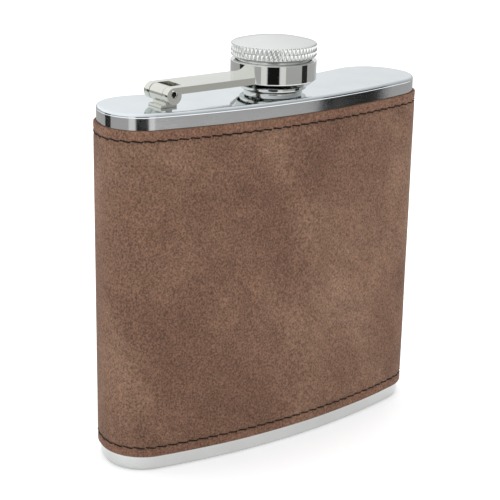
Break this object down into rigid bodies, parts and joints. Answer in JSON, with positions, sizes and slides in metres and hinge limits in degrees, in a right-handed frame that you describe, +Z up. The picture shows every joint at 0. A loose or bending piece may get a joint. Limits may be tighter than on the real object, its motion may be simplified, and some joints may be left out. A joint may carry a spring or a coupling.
{
  "type": "hip flask",
  "caption": "Curved pocket flask with a leather wrap, and a knurled screw cap held by a collar on a hinged arm.",
  "frame": {"origin": "on the flat base, under the axis of the neck and cap", "axes": "+Z up along the cap's axis, +X along the width with the hinge at -X, +Y towards the concave back"},
  "size_m": [0.0964, 0.0282, 0.1058],
  "materials": {
    "satin_steel": "fine brushed stainless steel",
    "polished_steel": "polished stainless steel",
    "chrome": "bright nickel and chrome plate",
    "leather": "mottled brown suede-like leatherette",
    "black_thread": "waxed black sewing thread",
    "silicone": "matte white silicone"
  },
  "bodies": {
    "flask": {"body_shell": "satin_steel", "base_plate": "satin_steel", "top_plate": "polished_steel", "leather_wrap": "leather", "lower_stitching": "black_thread", "upper_stitching": "black_thread", "neck": "polished_steel", "hinge_knuckle": "chrome"},
    "collar_arm": {"hinge_arm": "chrome", "cap_collar": "chrome", "hinge_pin": "chrome"},
    "cap_seal": {"seal_washer": "silicone"},
    "cap": {"cap_ferrule": "chrome", "cap_head": "satin_steel"}
  },
  "joints": [
    {"name": "arm_swing", "type": "hinge", "parent": "flask", "child": "collar_arm", "pos_m": [-0.0333, 0, 0.09555], "axis": [0, -1, 0], "range_deg": [0, 180]},
    {"name": "cap_lift", "type": "slide", "parent": "collar_arm", "child": "cap_seal", "axis": [0, 0, 1], "range_m": [0, 0.003]},
    {"name": "cap_turn", "type": "hinge", "parent": "cap_seal", "child": "cap", "pos_m": [0, 0, 0.1], "axis": [0, 0, 1], "range_deg": [0, 720]}
  ],
  "couplings": [
    {"joint": "cap_lift", "follows": "cap_turn", "m_per_rad": 0.0002387}
  ]
}
